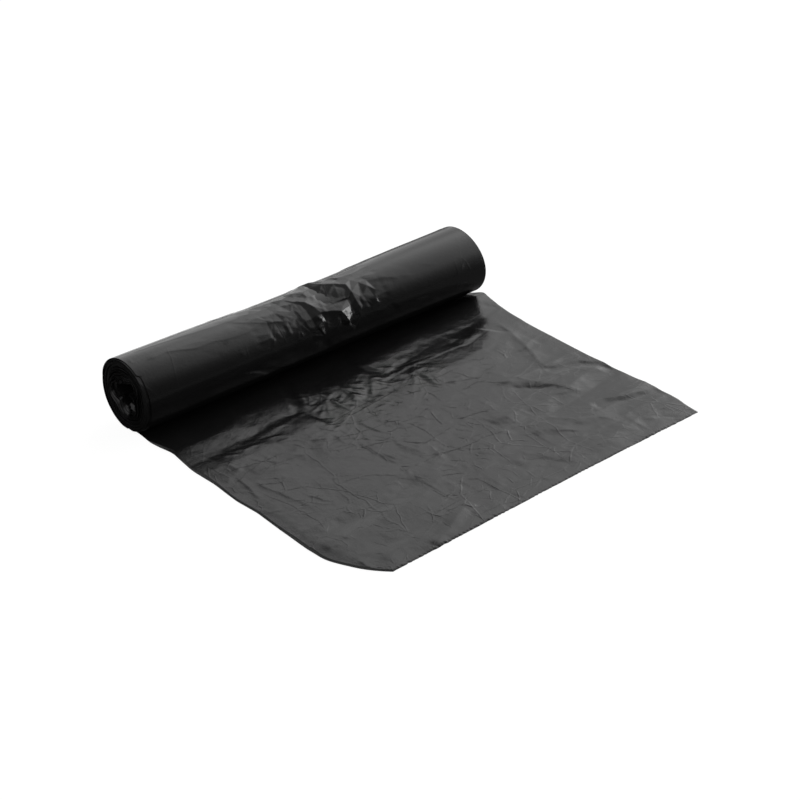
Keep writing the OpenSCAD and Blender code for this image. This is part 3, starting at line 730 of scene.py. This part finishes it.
# thin creases on and beside the puckers
for path, rise_mm, near, far in [
    ([(130, 182), (150, 200), (170, 212), (190, 220)], 0.3, 2.0, 5),
    ([(22, 197), (46, 195), (75, 207), (98, 208), (122, 214), (160, 214)], 0.28, 1.3, 5),
    ([(20, 168), (60, 172), (110, 180), (150, 182)], 0.25, 1.3, 5),
    ([(300, 196), (330, 216), (362, 226)], 0.2, 2.5, 5),
    ([(296, 186), (345, 226)], 0.15, 2.5, 5),
    ([(226, 168), (234, 186), (238, 206)], 0.35, 2.5, 4),
    ([(214, 196), (226, 214), (240, 228)], 0.3, 1.6, 3),
    ([(240, 226), (262, 228)], 0.3, 2, 3),
]:
    laid_out = [(px, turn_angle * degree) for px, turn_angle in path]
    press_crease(pinch, sx, sy, laid_out, rise_mm, near, far, 0.5, (-0.8, 0.6))
for count, seed, zone, lengths, rises, lean, spread in [
    (60, 51, (212, 212 * degree, 30, 16), (10, 34), (0.04, 0.16), 2.2, 0.4),
    (26, 52, (235, 248 * degree, 42, 6), (6, 14), (0.1, 0.35), 1.3, 0.4),
    (24, 53, (160, 200 * degree, 60, 20), (20, 60), (0.04, 0.12), 0.45, 0.25),
    (24, 54, (320, 210 * degree, 50, 20), (20, 60), (0.04, 0.12), 0.4, 0.25),
    (40, 55, (240, 110 * degree, 90, 45), (20, 60), (0.06, 0.4), 1.3, 0.6),
]:
    scatter_creases(pinch, sx, sy, count, seed, zone, lengths, rises, (1.5, 2.8), lean, spread)
pinch *= smooth((turned - 24) / 30) * smooth((322 - turned) / 30)
slack = 0.2 * swell(x, arc, 80, 43) + 0.06 * swell(x * 0.5, arc, 26, 44)
pinch += slack * smooth((turned - 14) / 30) * smooth((340 - turned) / 30)
angle = np.radians(turned)
deep = 1.3 * turned / 360
outside = wound_points(x, angle, deep - pinch)
few = (slice(None, None, coarse_step),) * 2
inside = wound_points(x[few], angle[few], deep[few] + turn_thickness - lowest_near(pinch, coarse_step))
outer_turn = make_sheet("outer_turn", outside, inside, coarse_step)
outer_turn.data.materials.append(wound_film)
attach(outer_turn, "root")
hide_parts("bag_roll")


# Wound bags: the rest of the web, wound up without a core in bundles of turns that cling together. The turns end
# unevenly, and the hollow middle has fallen in.
turns = 24
step_count = 96
stations = np.array([0.0, 0.35, 1.2, 3.0, 7.0, 14.0, 30.0, 70.0, 150.0])  # from each end of a turn inwards


def wind_depth(s):
    """Depth of the web at s turns, counted from the start of the second turn: each third turn is followed by a gap."""
    whole, part = np.floor(s).astype(int), s - np.floor(s)
    pitch = np.where(np.arange(turns + 2) % 3 == 2, 1.42, 0.78)
    start = 1.35 + np.concatenate([[0], np.cumsum(pitch)])
    return start[whole] + part * pitch[whole]


# along the web, s in turns: its depth in the roll, how far it has fallen in, and its bundle of three turns
s = np.linspace(0, turns, turns * step_count + 1)
angle = 2 * np.pi * s
deep = wind_depth(s)
fall = smooth((deep / mean_radius - 0.22) / 0.36)
bundle = np.floor(s / 3)
rng = np.random.default_rng(61)
loose_ends = rng.normal(0, 0.55, (2, turns * 6 + 2))


def ragged_end(side):
    """How far each turn stops short of the roll's left end (0) or right end (1)."""
    inner = smooth((deep / mean_radius - 0.26) / 0.2)
    by_bundle = (0.9 + 1.3 * inner) * np.sin(bundle * 2.4 + 1.7 * side)
    by_bundle += (0.35 + 0.4 * inner) * np.sin(angle + bundle + side)
    turn_to_turn = np.interp(s * 6, np.arange(turns * 6 + 2), loose_ends[side])
    return np.abs(by_bundle) + turn_to_turn * 0.7 + 3.5 * smooth((deep / mean_radius - 0.26) / 0.4)


def web_surface(extra):
    """Points of the wound web, lowered by an extra depth. Its inner turns have fallen in, in three and five lobes."""
    columns = []
    for side, rows in ((0, stations), (1, stations[::-1])):
        for station in rows:
            shift = np.maximum(ragged_end(side), 0.0) * np.exp(-station / 60)
            place = shift + station
            x_here = place if side == 0 else roll_length - place
            t = x_here / roll_length
            lobes = (0.62 * (0.5 - 0.5 * np.cos(3 * angle + np.radians(70 - 40 * t))) ** 2
                     + 0.38 * (0.5 - 0.5 * np.cos(5 * angle - np.radians(60 - 50 * t))) ** 2)
            y_here, z_here = round_roll(x_here, angle, deep + extra)
            half = left_half_height + (right_half_height - left_half_height) * t
            ripple = 2 * np.abs((2 * angle + 1.1 * bundle + 1.5 * side) / np.pi % 2 - 1) - 1
            flare = fall * np.exp(-station / 2) * (0.08 + 0.15 * ripple)
            squeeze = (1 - 0.88 * fall * lobes) * (1 + flare)
            y_here = y_here * squeeze + 4 * fall
            z_here = half + (z_here - half) * squeeze
            columns.append(np.stack([x_here - roll_length / 2, y_here, z_here], -1))
    return np.stack(columns, 1)


web_thickness = 0.3
wound_bags = make_sheet("wound_bags", web_surface(0.0), web_surface(web_thickness), 1)
wound_bags.data.materials.append(wound_film)
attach(wound_bags, "root")
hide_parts("bag_roll")
